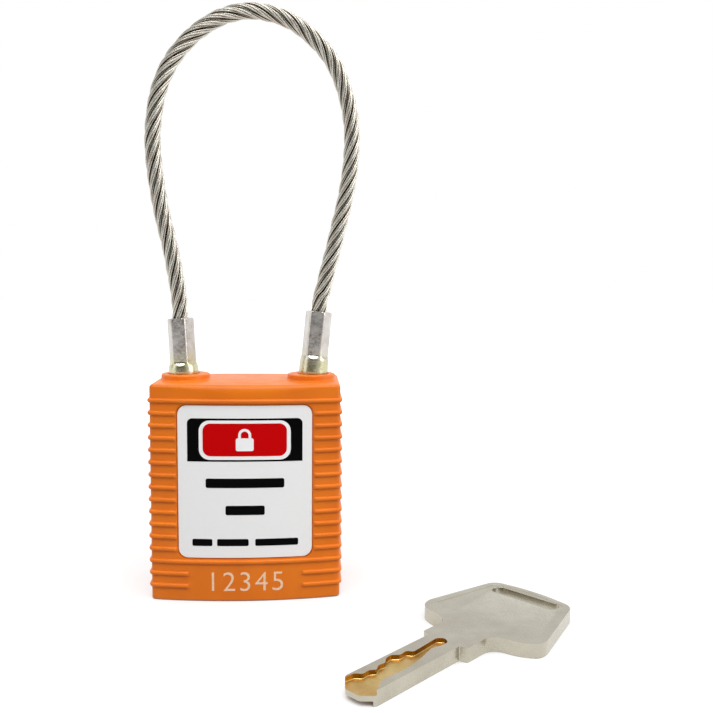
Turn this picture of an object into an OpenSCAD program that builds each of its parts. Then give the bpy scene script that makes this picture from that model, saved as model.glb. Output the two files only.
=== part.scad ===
// Safety padlock with a wire-rope shackle, and its track key.
// The lock stands on its base at z = 0, its front faces -Y, and the plug axis is the Z axis.

/* [Body] */
// Width of the body across its flat sides
body_w = 40; // [40:0.5:44]
// Height of the body
body_h = 46; // [46:0.5:50]
// Depth of the body at its flat sides
side_d = 20; // [20:0.5:23]
// How far the front and the back swell at the middle
bulge = 2; // [1.5:0.25:3]
// Rounding of the upper edges
edge_cut = 1.2; // [0.6:0.1:1.6]
// Height of the round collars on the top face
collar_h = 1.3; // [0.5:0.1:1.3]
// Radius of the round collars on the top face
collar_r = 5.25; // [4.8:0.05:5.5]
// Distance from the plug axis to the middle of each collar
collar_x = 13.8; // [13.7:0.1:14.2]

/* [Grip ribs] */
// Number of grip ribs up the body
rib_count = 16; // [12:1:16]
// Distance from one rib to the next
rib_pitch = 2.63; // [2.4:0.01:2.63]
// Height of the middle of the lowest rib
rib_z0 = 3.2; // [3:0.1:4]
// Height of one rib
rib_h = 1; // [0.8:0.1:1.2]
// How far a rib stands out
rib_out = 0.45; // [0.3:0.05:0.6]

/* [Label] */
// Width of each label
label_w = 28; // [24:0.5:28]
// Height of each label
label_h = 32.4; // [28:0.2:32.4]
// Height of the middle of each label
label_z = 25.6; // [25:0.1:26]
// Corner radius of each label
label_r = 2; // [1:0.25:3]
// Depth of the recess that a label is stuck in
recess = 0.4; // [0.3:0.05:0.6]

/* [Shackle] */
// Distance from the plug axis to each terminal pin
pin_x = 14.2; // [14.2:0.1:14.4]
// Diameter of a terminal pin
pin_d = 6.4; // [6:0.1:6.4]
// Radial clearance of a pin in its bore
pin_gap = 0.08; // [0.05:0.01:0.1]
// Outward lean of the heel ferrule
heel_lean = 2.9; // [0:0.1:4]
// Outward lean of the toe ferrule
toe_lean = 5.4; // [0:0.1:6]
// Length of the hexagonal crimp on a ferrule
crimp_len = 10; // [9:0.5:11]
// Diameter of the wire rope
rope_d = 3.5; // [3:0.1:3.6]
// Lift of the whole shackle when the lock is open
shackle_lift = 8.4; // [7:0.1:8.4]

/* [Lock works] */
// Radius of the plug barrel
plug_r = 5.95; // [5.9:0.01:5.97]
// Travel of the locking bolt
bolt_travel = 2.2; // [2:0.05:2.2]
// Number of sliders in the plug
slider_count = 6; // [4:1:6]
// Thickness of one slider
slider_t = 0.7; // [0.6:0.05:0.7]
// Sideways travel of a slider
slider_travel = 0.6; // [0.4:0.05:0.6]

/* [Key] */
// Thickness of the key
key_t = 2.7; // [2.4:0.1:2.7]
// Width of the key blade
blade_w = 7; // [6.5:0.1:7]
// Depth of the milled track
track_depth = 0.9; // [0.6:0.1:1]

/* [Hidden] */
$fn = 48;
eps = 0.01;

// case
depth = side_d + 2 * bulge;
face_r = (pow(body_w / 2, 2) + bulge * bulge) / (2 * bulge);
pin_r = pin_d / 2;
bore_r = pin_r + pin_gap;
roof_z = 42;
wide_rib_low = 2;
short_rib_x = 11.8;
rib_window = label_w / 2 + 0.3;
label_gap = 0.25;
label_t = 0.3;
glue_t = 0.02;

// pocket, housing and plate
pocket_w = 37.1;
pocket_d = 15.4;
plate_top = 3;
plate_z = 0.5;
plate_w = 36.9;
plate_d = 18;
fit = 0.1;
corner_r = 2;
lip_l = 6;
lip_y = 9.2;
lip_t = 0.8;
lip_z = 1.2;
lip_gap = 0.2;

// screw that ties the plate to the housing, through the plate's boss
boss_r = 2.6;
boss_top = 6;
screw_r = 1.48;
screw_head_r = 2.6;
screw_head_z = 27.35;
screw_head_top = 29.4;
hex_socket_r = 1.45;

// plug
plug_gap = 0.1;
barrel_top = 26.9;
neck_r = 4.5;
neck_top = 29.8;
tail_w = 3;
tail_top = 31.2;
tail_gap = 0.03;
flange_r = 6.85;
flange_top = 4.2;
clip_z = 28.35;
clip_t = 0.75;
clip_r = 5.5;
clip_groove_r = 3.7;
clip_mouth = 3.2;
keyway_w = blade_w + 0.3;
keyway_h = key_t + 0.3;
keyway_top = 25.8;
slider_z0 = 7;
slider_pitch = 3;
slider_w = 5.2;
slider_gap = 0.07;
slider_window = [8.7, 3.3];
nib_r = 0.6;
nib_y = 0.9;
ear_w = 0.6;
ear_x = 0.1;
gate_r = plug_r + slider_travel + 0.2;

// springs of the sliders, each in a pocket beside its slider
slider_spring_x = 1.7;
slider_spring_y = -3.35;
slider_spring_l = 2.96;
slider_spring_r = 0.45;
slider_wire_r = 0.1;
pocket_x = 1;
pocket_l = 4.4;
pocket_h = 1.3;
pocket_far_y = 4.2;

// bolt and cam
chamber_x = 7;
chamber_y = 5.8;
chamber_z = 28.2;
bolt_z = 32.3;
bolt_h = 4;
bolt_w = 6;
bolt_nose_x = 10.75;
bolt_back_x = -3.6;
guide_gap = 0.1;
cover_z = 37;
cover_t = 1.2;
cover_w = 20.4;
cover_d = 12.8;
cover_screw = [8.6, 4.8];
cover_screw_r = 0.75;
cover_head_r = 1.4;
cover_head_h = 0.88;
cover_screw_l = 3.4;
cam_r = 4.4;
cam_top = 32;
cam_pin_r = 0.9;
cam_throw = bolt_travel / sqrt(2);
cam_pin_gap = 0.07;
tail_rod_r = 1;
rod_end_x = -10.6;
bolt_spring_r = 1.5;
bolt_wire_r = 0.22;

// shackle
ring_r = 3.7;
ring_groove_r = 2.5;
ring_mouth = 2;
heel_end_z = 13;
ring_z = 14.7;
ring_t = 0.8;
heel_wide_top = ring_z + ring_t + shackle_lift + 0.1;
toe_end_z = 30.2;
bend_z = 47;
heel_base = 2.45;
toe_base = 4.1;
heel_len = heel_base + crimp_len;
toe_len = toe_base + crimp_len;
notch_depth = 2.1;
notch_gap = 0.4;
hex_turn = -7;
heel_top = [-pin_x - heel_len * sin(heel_lean), bend_z + heel_len * cos(heel_lean)];
toe_top = [pin_x + toe_len * sin(toe_lean), bend_z + toe_len * cos(toe_lean)];

// route of the rope from the heel ferrule over to the toe ferrule, as [x, z]
rope_route = [[-15.2, 65], [-16, 70], [-17, 75.5], [-18.3, 81], [-19.3, 86.6],
    [-20, 92], [-20.3, 97], [-20, 102], [-19, 107.5], [-17, 112.6],
    [-14, 117], [-10, 120.8], [-5.2, 123.6], [0, 124.9], [5.4, 124.4],
    [10.1, 122.6], [14, 119.7], [17.4, 116.1], [19.9, 111.5], [21.5, 106.6],
    [22.4, 101.5], [22.5, 96.5], [22.1, 91.5], [21.2, 85.9], [19.8, 79.9],
    [18.5, 74.4], [17.2, 69.4], [16.3, 65.5]];

// key, in its own plane with the blade along x
key_pos = [30, -45.6];
key_turn = 42.9;
blade_start = -13.2;
tip_cut = 1.9;
stop_x = 10.8;
stop_w = 10.2;
neck_x = 18.6;
bow_w = 28;
bow_x = 22.3;
slot_x = 38.7;
slot_w = 4;
slot_l = 15.8;
panel_depth = 0.2;
panel_x = 28;
panel_size = [12, 17];

// ---------------------------------------------------------------- shared shapes

// Rectangle with round corners, centred, made of true arcs.
module rounded(w, d, r) {
    square([w - 2 * r, d], center = true);
    square([w, d - 2 * r], center = true);
    for (sx = [-1, 1], sy = [-1, 1])
        translate([sx * (w / 2 - r), sy * (d / 2 - r)]) circle(r);
}

// Outline of the body seen from above, grown outwards by g.
module plan(g = 0) {
    intersection() {
        square([body_w + 2 * g, depth + 2 * g], center = true);
        translate([0, face_r - depth / 2]) circle(face_r + g, $fn = 180);
        translate([0, depth / 2 - face_r]) circle(face_r + g, $fn = 180);
    }
}

// Block with a rounded plan, from z0 to z1.
module block(w, d, z0, z1, r = corner_r) {
    translate([0, 0, z0]) linear_extrude(z1 - z0) rounded(w, d, r);
}

// Upright cylinder from z0 to z1.
module post(r, z0, z1, x = 0, y = 0) {
    translate([x, y, z0]) cylinder(r = r, h = z1 - z0);
}

// Box given by its lowest and highest corners.
module span(low, high) {
    translate(low) cube(high - low);
}

// Ring of points round a centre, square to a direction in the XZ plane.
function ring_at(c, dir, r, n) = let (side = [dir[2], 0, -dir[0]])
    [for (k = [0 : n - 1]) c + r * (cos(360 * k / n) * side + sin(360 * k / n) * [0, 1, 0])];

// Closed tube through rings that all have n points.
module tube(rings, n) {
    count = len(rings);
    points = [for (ring = rings) each ring];
    walls = [for (i = [0 : count - 2], k = [0 : n - 1])
        [i * n + k, i * n + (k + 1) % n, (i + 1) * n + (k + 1) % n, (i + 1) * n + k]];
    first_end = [for (k = [n - 1 : -1 : 0]) k];
    last_end = [for (k = [0 : n - 1]) (count - 1) * n + k];
    polyhedron(points, concat([first_end], walls, [last_end]), convexity = 6);
}

// Coil along X, from x0 to x1, about an axis at y0 and z0.
module coil(x0, x1, y0, z0, mean_r, wire_r, turns, steps = 10, n = 6) {
    rings = [for (i = [0 : turns * steps]) let (
            a = 360 * i / steps,
            x = x0 + wire_r + (x1 - x0 - 2 * wire_r) * i / (turns * steps),
            outward = [0, cos(a), sin(a)])
        [for (k = [0 : n - 1]) [x, y0, z0] + (mean_r + wire_r * cos(360 * k / n)) * outward
            + [-wire_r * sin(360 * k / n), 0, 0]]];
    tube(rings, n);
}

// ---------------------------------------------------------------- case

// One grip rib round the body; short ribs leave the front and back faces free.
module rib(i) {
    z = rib_z0 + i * rib_pitch - rib_h / 2;
    free_x = (i < wide_rib_low) ? short_rib_x : rib_window;
    wraps = i == wide_rib_low || i == rib_count - 1;
    translate([0, 0, z]) difference() {
        linear_extrude(rib_h) plan(rib_out);
        if (!wraps)
            span([-free_x, -depth, -1], [free_x, depth, rib_h + 1]);
    }
}

// Recess for a label, on the front for side = -1 and on the back for side = 1.
module label_block(side, w, h, r) {
    translate([0, side * depth / 2, label_z]) rotate([90, 0, 0])
        linear_extrude(depth / 2, center = true) rounded(w, h, r);
}

module label(side) {
    intersection() {
        label_block(side, label_w, label_h, label_r);
        difference() {
            translate([0, 0, label_z - label_h]) linear_extrude(2 * label_h)
                plan(-recess + label_t);
            translate([0, 0, label_z - label_h - 1]) linear_extrude(2 * label_h + 2)
                plan(-recess + glue_t);
        }
    }
}

// Snap lips on the long edges of the bottom plate, or their grooves, grown by a gap.
module snap_lips(gap = 0) {
    for (s = [-1, 1])
        span([-lip_l / 2 - gap, s * lip_y - lip_t / 2 - gap, lip_z - gap],
            [lip_l / 2 + gap, s * lip_y + lip_t / 2 + gap, lip_z + lip_t + gap]);
}

module case_shell() {
    color("darkorange") difference() {
        union() {
            linear_extrude(body_h) plan();
            for (i = [0 : rib_count - 1]) rib(i);
            for (s = [-1, 1]) post(collar_r, body_h - 1, body_h + collar_h, s * collar_x);
        }
        // softened upper edges
        for (s = [-1, 1]) {
            translate([s * body_w / 2, 0, body_h]) rotate([0, 45, 0])
                cube([edge_cut, 2 * depth, edge_cut], center = true);
            translate([0, s * (depth / 2 - face_r), body_h])
                rotate_extrude($fn = 180) translate([face_r, 0]) rotate(45)
                    square(edge_cut, center = true);
        }
        // label recesses
        for (s = [-1, 1]) difference() {
            label_block(s, label_w + 2 * label_gap, label_h + 2 * label_gap, label_r);
            translate([0, 0, -1]) linear_extrude(body_h + 2) plan(-recess);
        }
        // pocket for the housing, and the wider seat for the bottom plate
        block(pocket_w, pocket_d, 1, roof_z);
        block(pocket_w, plate_d + 2 * fit, -1, plate_top + fit);
        snap_lips(lip_gap);
        for (s = [-1, 1]) post(bore_r, roof_z - 1, body_h + collar_h + 1, s * pin_x);
    }
}

module bottom_plate() {
    color("darkorange") difference() {
        union() {
            block(plate_w, plate_d, plate_z, plate_top);
            snap_lips();
            post(boss_r, plate_top - 0.5, boss_top, pin_x);
        }
        post(plug_r + plug_gap + 0.05, 0, plate_top + 1);
        post(screw_r + 0.02, plate_z + 1, boss_top + 1, pin_x);
    }
}

// ---------------------------------------------------------------- lock works

// Its children at each screw of the bolt cover.
module at_cover_screws() {
    for (s = [-1, 1]) translate(s * cover_screw) children();
}

module core_housing() {
    color("silver") difference() {
        block(pocket_w - fit, pocket_d - 2 * fit, plate_top + 0.15, roof_z - fit);
        // plug bore, flange seat, and the hole for the plug's neck
        post(plug_r + plug_gap, 2, barrel_top + fit);
        post(flange_r + 0.15, 2, flange_top + fit);
        post(neck_r + plug_gap, barrel_top, chamber_z + 1);
        // four gates that the sliders lock into
        for (a = [0, 90]) rotate(a) intersection() {
            span([-gate_r, -slider_w / 2 - fit, flange_top],
                [gate_r, slider_w / 2 + fit, barrel_top + fit]);
            post(gate_r, 2, barrel_top + fit);
        }
        // chamber for the cam and bolt, and the bolt's two guides
        span([-chamber_x, -chamber_y, chamber_z], [chamber_x, chamber_y, cover_z]);
        span([0, -bolt_w / 2 - guide_gap, bolt_z - guide_gap],
            [pin_x, bolt_w / 2 + guide_gap, bolt_z + bolt_h + guide_gap]);
        translate([rod_end_x - 0.15, 0, bolt_z + bolt_h / 2]) rotate([0, 90, 0])
            cylinder(r = tail_rod_r + 0.08, h = -rod_end_x - chamber_x + 1);
        // seat of the cover, open to the top, and its screw holes
        span([-cover_w / 2 - fit, -cover_d / 2 - fit, cover_z],
            [cover_w / 2 + fit, cover_d / 2 + fit, roof_z]);
        at_cover_screws() post(cover_screw_r + 0.05, cover_z - cover_screw_l - 0.2, cover_z + 1);
        // heel bore, with its wide part for the stop ring
        post(bore_r, heel_wide_top - 1, roof_z, -pin_x);
        post(ring_r + 0.1, 2, heel_wide_top, -pin_x);
        // toe bore, with the screw's seat, its shank hole and the plate's boss
        post(bore_r, toe_end_z - 0.3, roof_z, pin_x);
        post(screw_head_r + 0.15, screw_head_z - 0.05, toe_end_z - 0.2, pin_x);
        post(screw_r + 0.12, boss_top - 1, screw_head_z + 1, pin_x);
        post(boss_r + fit, 2, boss_top + 0.2, pin_x);
    }
}

module core_screw() {
    color("dimgray") difference() {
        union() {
            post(screw_head_r, screw_head_z, screw_head_top, pin_x);
            post(screw_r, plate_z + 1.5, screw_head_z + 0.1, pin_x);
        }
        translate([pin_x, 0, screw_head_top - 1.2]) cylinder(r = hex_socket_r, h = 2, $fn = 6);
    }
}

module bolt_cover() {
    color("lightsteelblue") difference() {
        span([-cover_w / 2, -cover_d / 2, cover_z + 0.02],
            [cover_w / 2, cover_d / 2, cover_z + cover_t]);
        at_cover_screws() post(cover_screw_r + 0.1, cover_z - 1, cover_z + 3);
    }
}

module cover_screws() {
    head_z = cover_z + cover_t + 0.02;
    driver_slot = 0.4;
    color("dimgray") at_cover_screws() difference() {
        union() {
            post(cover_screw_r, cover_z - cover_screw_l, head_z + 0.1);
            post(cover_head_r, head_z, head_z + cover_head_h);
        }
        span([-2, -driver_slot / 2, head_z + cover_head_h - driver_slot],
            [2, driver_slot / 2, head_z + 2]);
    }
}

// Height of the middle of slider i, and the way that its spring pushes it.
function slider_mid(i) = slider_z0 + slider_pitch * i;
function slider_way(i) = (i % 2 == 0) ? 1 : -1;

module key_plug() {
    color("gold") difference() {
        union() {
            post(plug_r, plate_z + 0.4, barrel_top);
            post(flange_r, plate_top + 0.15, flange_top);
            post(neck_r, barrel_top - 0.5, neck_top);
            span([-tail_w / 2, -tail_w / 2, neck_top - 0.5], [tail_w / 2, tail_w / 2, tail_top]);
        }
        span([-keyway_w / 2, -keyway_h / 2, 0], [keyway_w / 2, keyway_h / 2, keyway_top]);
        for (i = [0 : slider_count - 1]) translate([0, 0, slider_mid(i)]) {
            // slot for the slider, and the pocket for its ear and spring
            span([-plug_r - 1, -slider_w / 2 - fit, -slider_t / 2 - slider_gap],
                [plug_r + 1, slider_w / 2 + fit, slider_t / 2 + slider_gap]);
            span([-pocket_x * slider_way(i) - pocket_l / 2, -pocket_far_y, -pocket_h / 2],
                [-pocket_x * slider_way(i) + pocket_l / 2, -slider_w / 2 + fit, pocket_h / 2]);
        }
        // groove for the retaining clip
        difference() {
            post(neck_r + 1, clip_z - 0.05, clip_z + clip_t + 0.1);
            post(clip_groove_r, clip_z - 1, clip_z + 2);
        }
    }
}

// Leaf slider: a plate with a window for the key, a nib that rides in the key's track,
// and an ear for its spring.
module slider(i) {
    way = slider_way(i);
    color("goldenrod") translate([0, 0, slider_mid(i) - slider_t / 2]) linear_extrude(slider_t) {
        difference() {
            intersection() {
                circle(plug_r - 0.1);
                square([2 * plug_r, slider_w], center = true);
            }
            square(slider_window, center = true);
        }
        translate([-nib_r, nib_y]) square([2 * nib_r, 1]);
        translate([0, nib_y]) circle(nib_r);
        translate([ear_x * way - ear_w / 2, -pocket_far_y + 0.2]) square([ear_w, 2]);
    }
}

module slider_springs() {
    color("lightgray") for (i = [0 : slider_count - 1]) {
        mid_x = -slider_spring_x * slider_way(i);
        coil(mid_x - slider_spring_l / 2, mid_x + slider_spring_l / 2, slider_spring_y,
            slider_mid(i), slider_spring_r, slider_wire_r, 4, 8, 5);
    }
}

module plug_clip() {
    color("darkgray") difference() {
        post(clip_r, clip_z, clip_z + clip_t);
        post(clip_groove_r + 0.05, clip_z - 1, clip_z + 2);
        span([-clip_mouth / 2, 0, clip_z - 1], [clip_mouth / 2, clip_r + 1, clip_z + 2]);
    }
}

// Drive disc on the plug's square tail; its pin carries the bolt.
module cam() {
    color("silver") difference() {
        union() {
            post(cam_r, neck_top + 0.05, cam_top);
            post(cam_pin_r, cam_top - 0.1, bolt_z + bolt_h - 0.3, -bolt_travel / 2,
                -bolt_travel / 2);
        }
        span([-tail_w / 2 - tail_gap, -tail_w / 2 - tail_gap, neck_top - 1],
            [tail_w / 2 + tail_gap, tail_w / 2 + tail_gap, tail_top + 0.05]);
    }
}

module toe_bolt() {
    slot_r = cam_pin_r + cam_pin_gap;
    mid_z = bolt_z + bolt_h / 2;
    nose_cut = 1.4;
    color("lightsteelblue") {
        difference() {
            span([bolt_back_x, -bolt_w / 2, bolt_z], [bolt_nose_x, bolt_w / 2, bolt_z + bolt_h]);
            // cross slot for the cam's pin
            span([-bolt_travel / 2 - slot_r, -cam_throw - slot_r - 0.05, bolt_z - 1],
                [-bolt_travel / 2 + slot_r, -bolt_travel / 2 + slot_r + 0.05,
                    bolt_z + bolt_h + 1]);
            // bevelled nose
            translate([bolt_nose_x, 0, bolt_z + bolt_h]) rotate([0, 45, 0])
                cube([nose_cut, bolt_w + 2, nose_cut], center = true);
        }
        translate([rod_end_x, 0, mid_z]) rotate([0, 90, 0])
            cylinder(r = tail_rod_r, h = bolt_back_x - rod_end_x + 0.5);
    }
}

module bolt_spring() {
    color("lightgray")
        coil(-chamber_x + 0.03, bolt_back_x - 0.03, 0, bolt_z + bolt_h / 2, bolt_spring_r,
            bolt_wire_r, 5, 12, 6);
}

// ---------------------------------------------------------------- shackle

// Crimped ferrule above the bend: a round base and a six-sided crimp.
module ferrule(base_len) {
    translate([0, 0, -0.4]) cylinder(r = pin_r - 0.08, h = base_len + 1);
    translate([0, 0, base_len]) intersection() {
        cylinder(r = pin_r - 0.3, h = crimp_len);
        rotate(hex_turn) cylinder(r = pin_r - 0.15, h = crimp_len, $fn = 6);
    }
}

module heel_terminal() {
    color("gainsboro") difference() {
        union() {
            post(pin_r, heel_end_z, bend_z + 0.3, -pin_x);
            translate([-pin_x, 0, bend_z]) rotate([0, -heel_lean, 0]) ferrule(heel_base);
        }
        // groove for the stop ring
        difference() {
            post(pin_r + 1, ring_z - 0.1, ring_z + ring_t + 0.1, -pin_x);
            post(ring_groove_r, ring_z - 1, ring_z + ring_t + 1, -pin_x);
        }
    }
}

module heel_stop_ring() {
    color("darkgray") difference() {
        post(ring_r, ring_z, ring_z + ring_t, -pin_x);
        post(ring_groove_r + 0.05, ring_z - 1, ring_z + ring_t + 1, -pin_x);
        span([-pin_x - ring_mouth / 2, 0, ring_z - 1],
            [-pin_x + ring_mouth / 2, ring_r + 1, ring_z + 2]);
    }
}

module toe_terminal() {
    color("gainsboro") difference() {
        union() {
            post(pin_r, toe_end_z, bend_z + 0.3, pin_x);
            translate([pin_x, 0, bend_z]) rotate([0, toe_lean, 0]) ferrule(toe_base);
        }
        // notch that the bolt locks into
        span([pin_x - pin_r - 1, -pin_r - 1, bolt_z - notch_gap],
            [pin_x - pin_r + notch_depth, pin_r + 1, bolt_z + bolt_h + notch_gap]);
    }
}

// Route with its two ends square on the ferrules, as [x, z] points.
rope_ends = [heel_top, heel_top + 3 * [-sin(heel_lean), cos(heel_lean)],
    toe_top + 3 * [sin(toe_lean), cos(toe_lean)], toe_top];
rope_points = concat([rope_ends[0], rope_ends[1]], rope_route, [rope_ends[2], rope_ends[3]]);
rope_steps = 2;

// Smooth curve through the points: place and direction at parameter u of piece i.
function knot(i) = let (n = len(rope_points))
    i < 0 ? 2 * rope_points[0] - rope_points[1]
    : i >= n ? 2 * rope_points[n - 1] - rope_points[n - 2]
    : rope_points[i];
function curve(i, u) = let (a = knot(i - 1), b = knot(i), c = knot(i + 1), d = knot(i + 2))
    0.5 * (2 * b + (c - a) * u + (2 * a - 5 * b + 4 * c - d) * u * u
        + (3 * b - 3 * c + d - a) * u * u * u);
function slope(i, u) = let (a = knot(i - 1), b = knot(i), c = knot(i + 1), d = knot(i + 2))
    0.5 * ((c - a) + 2 * (2 * a - 5 * b + 4 * c - d) * u
        + 3 * (3 * b - 3 * c + d - a) * u * u);

module wire_rope() {
    last = len(rope_points) - 1;
    sides = 8;
    rings = [for (j = [0 : last * rope_steps]) let (
            i = min(floor(j / rope_steps), last - 1),
            u = j / rope_steps - i,
            p = curve(i, u),
            t = slope(i, u) / norm(slope(i, u)))
        ring_at([p[0], 0, p[1]], [t[0], 0, t[1]], rope_d / 2, sides)];
    color("darkgray") tube(rings, sides);
}

// ---------------------------------------------------------------- labels and key

module front_label() {
    color("whitesmoke") label(-1);
}

module back_label() {
    color("whitesmoke") label(1);
}

// Outline with each corner of a list of [x, y, radius] rounded by an arc.
function unit(v) = v / norm(v);
function fillet(points, steps = 6) = [for (i = [0 : len(points) - 1]) let (
        n = len(points),
        p = [points[i][0], points[i][1]],
        a = [points[(i + n - 1) % n][0], points[(i + n - 1) % n][1]],
        b = [points[(i + 1) % n][0], points[(i + 1) % n][1]],
        r = points[i][2],
        to_a = unit(a - p),
        to_b = unit(b - p),
        half = acos(to_a * to_b) / 2,
        reach = r / tan(half),
        centre = p + unit(to_a + to_b) * r / sin(half),
        from = p + to_a * reach - centre,
        sweep = 180 - 2 * half,
        turn = (from[0] * to_b[1] - from[1] * to_b[0]) > 0 ? 1 : -1)
    each [for (k = [0 : steps]) let (w = turn * sweep * k / steps)
        centre + [from[0] * cos(w) - from[1] * sin(w), from[0] * sin(w) + from[1] * cos(w)]]];

// Half outline of the key beside its axis, from the tip to the widest place of the bow,
// and the corners of the bow's back.
key_half = [[blade_start, blade_w / 2 - tip_cut, 0.4], [blade_start + tip_cut, blade_w / 2, 0.4],
    [stop_x, blade_w / 2, 0.2], [stop_x + 0.3, stop_w / 2, 0.5], [neck_x, stop_w / 2, 2],
    [bow_x - 2.6, bow_w / 2 - 2.6, 1.5], [bow_x, bow_w / 2, 2]];
bow_back = [[41.2, -9.1, 1.8], [42.9, 0.6, 20], [41.7, 9.9, 1.8]];
key_outline = concat([for (p = key_half) [p[0], -p[1], p[2]]], bow_back,
    [for (i = [len(key_half) - 1 : -1 : 0]) key_half[i]]);

// Milled track for the slider nibs: it flares at the tip and winds towards the stop.
track = [[blade_start - 1, -4.6, 0.1], [-11.2, -3.5, 1], [-8, -1.8, 1.5], [-2.2, -2.1, 3],
    [1.1, -1.8, 2], [4, -1.1, 1], [6.7, -0.4, 1], [8.6, -1, 1], [10.6, -1.1, 0.6],
    [11.6, 0.3, 0.6], [10.6, 1.5, 0.6], [5.5, 1.1, 1], [3.4, 1, 0.4], [2.7, 2.1, 0.3],
    [0.8, 1.9, 0.3], [-0.4, 3, 0.3], [-1.9, 2.8, 0.3], [-3.2, 1.8, 0.3], [-4.7, 2, 0.3],
    [-6.1, 1.2, 0.3], [-7.2, 2, 0.3], [-8.8, 1.8, 0.3], [-9.7, 3, 0.5],
    [blade_start - 1, 3.4, 0.1]];

module key_blank() {
    difference() {
        linear_extrude(key_t) polygon(fillet(key_outline));
        translate([slot_x, 0, -1]) linear_extrude(key_t + 2)
            rounded(slot_w, slot_l, slot_w / 2 - eps);
        for (z = [panel_depth - 1, key_t - panel_depth])
            translate([panel_x, 0, z]) linear_extrude(1)
                rounded(panel_size[0], panel_size[1], corner_r);
    }
}

module key() {
    color("lightgray") translate([key_pos[0], key_pos[1], 0]) rotate(key_turn) difference() {
        key_blank();
        translate([0, 0, key_t - track_depth]) linear_extrude(2) polygon(fillet(track));
        translate([0, 0, track_depth]) rotate([180, 0, 0]) linear_extrude(2)
            polygon(fillet(track));
    }
}

case_shell();
bottom_plate();
core_housing();
core_screw();
bolt_cover();
cover_screws();
key_plug();
slider(0);  // slider_1
slider(1);  // slider_2
slider(2);  // slider_3
slider(3);  // slider_4
slider(4);  // slider_5
slider(5);  // slider_6
slider_springs();
plug_clip();
cam();
toe_bolt();
bolt_spring();
heel_terminal();
heel_stop_ring();
toe_terminal();
wire_rope();
front_label();
back_label();
key();
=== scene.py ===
"""Looks of a safety padlock with a wire-rope shackle, and of its track key.

Sizes are in millimetres until a finished mesh is scaled to metres.
The lock stands on its base at z = 0, its front faces -Y, and the plug axis is the Z axis.
"""

import math

import bmesh
import bpy
from mathutils import Matrix, Vector


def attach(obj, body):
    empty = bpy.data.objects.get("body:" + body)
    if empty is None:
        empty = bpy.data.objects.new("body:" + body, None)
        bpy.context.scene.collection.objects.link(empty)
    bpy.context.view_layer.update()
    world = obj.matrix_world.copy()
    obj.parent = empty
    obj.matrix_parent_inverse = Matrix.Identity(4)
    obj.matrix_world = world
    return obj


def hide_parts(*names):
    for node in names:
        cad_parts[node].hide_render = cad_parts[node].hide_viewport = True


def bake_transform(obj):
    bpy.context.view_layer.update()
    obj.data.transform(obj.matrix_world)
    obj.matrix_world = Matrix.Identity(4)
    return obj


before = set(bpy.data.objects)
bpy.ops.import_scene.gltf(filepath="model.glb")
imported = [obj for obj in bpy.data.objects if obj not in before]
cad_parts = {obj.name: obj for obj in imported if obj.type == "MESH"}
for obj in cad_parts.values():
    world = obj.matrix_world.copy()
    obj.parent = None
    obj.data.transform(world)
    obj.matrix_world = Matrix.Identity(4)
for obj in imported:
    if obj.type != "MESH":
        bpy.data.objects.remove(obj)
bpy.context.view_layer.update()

MM = 0.001
FRONT, BACK = -1, 1
PAST = 1.0      # how far a cutter or a joined part runs past a face
HAIR = 0.01     # keeps shapes crossing where they would only touch

# ---------------------------------------------------------------- sizes

# body, with two curved faces
BODY_W = 40.0
BODY_H = 46.0
BULGE = 2.0
DEPTH = 24.0
FACE_R = ((BODY_W / 2) ** 2 + BULGE ** 2) / (2 * BULGE)
SIDE_CORNER_R = 1.0
FOOT_EDGE = 0.25
EDGE_R = 0.7
CROWN_IN = 0.35
CROWN_UP = 2.0
CROWN_X = 17.0

# hollow for the lock works, deeper at the foot for the bottom plate
HOLLOW_W = 37.1
HOLLOW_D = 15.4
HOLLOW_Z = 1.0
HOLLOW_R = 2.0
ROOF_Z = 42.0
FOOT_D = 18.2
FOOT_Z = 3.1

# leg bores and collars
PIN_X = 14.2
PIN_R = 3.2
BORE_R = 3.28
BORE_LIP = 0.3
COLLAR_X = 13.8
COLLAR_R = 5.25
COLLAR_TOP = BODY_H + 1.3
COLLAR_ROOT_R = 0.3
COLLAR_RIM_R = 0.35

# grip ribs: most stop beside the label or the number, and two go right round
RIB_COUNT = 16
RIB_PITCH = 2.63
RIB_Z0 = 3.2
RIB_H = 1.0
RIB_OUT = 0.45
RIB_END = 0.45
LOW_RIBS = 2
TOP_RIB = RIB_COUNT - 1
LOW_FREE_X = 11.8
LABEL_FREE_X = 14.3
SIDE_X = LABEL_FREE_X + 2
SIDE_IN = 1.2

# labels and number
LABEL_W = 28.0
LABEL_H = 32.4
LABEL_Z = 25.6
LABEL_R = 2.0
LABEL_GAP = 0.25
RECESS = 0.4
FILM_LOW = -0.38
FILM_TOP = -0.1
INK_T = 0.03
NUMBER_Z = 2.2

# legs: a pin with a leaning crimp above the bend
HEEL_LOW_Z = 13.0
TOE_LOW_Z = 30.2
PIN_END = 0.5
GROOVE_Z = 15.1
GROOVE_H = 1.0
GROOVE_R = 2.5
NOTCH_LOW_Z = 31.9
NOTCH_TOP_Z = 36.7
NOTCH_X = -1.1
BEND_Z = 47.0
BEND_H = 0.8
HEEL_LEAN = -2.9
TOE_LEAN = 5.4
HEEL_BASE = 2.45
TOE_BASE = 4.1
NECK_R = PIN_R - 0.05
CRIMP_R = 2.92
CRIMP_LEN = 10.0
HEX_IN_R = 2.62
HEX_TURN = -7.0
FLAT_MIN_R = 2.4
SCOOP_LOW = 0.3
SCOOP_H = 0.8
SCOOP_OUT = 0.5
YELLOW_LOW_Z = BEND_Z + 1.5
YELLOW_TOP_Z = BEND_Z + 6.5

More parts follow.
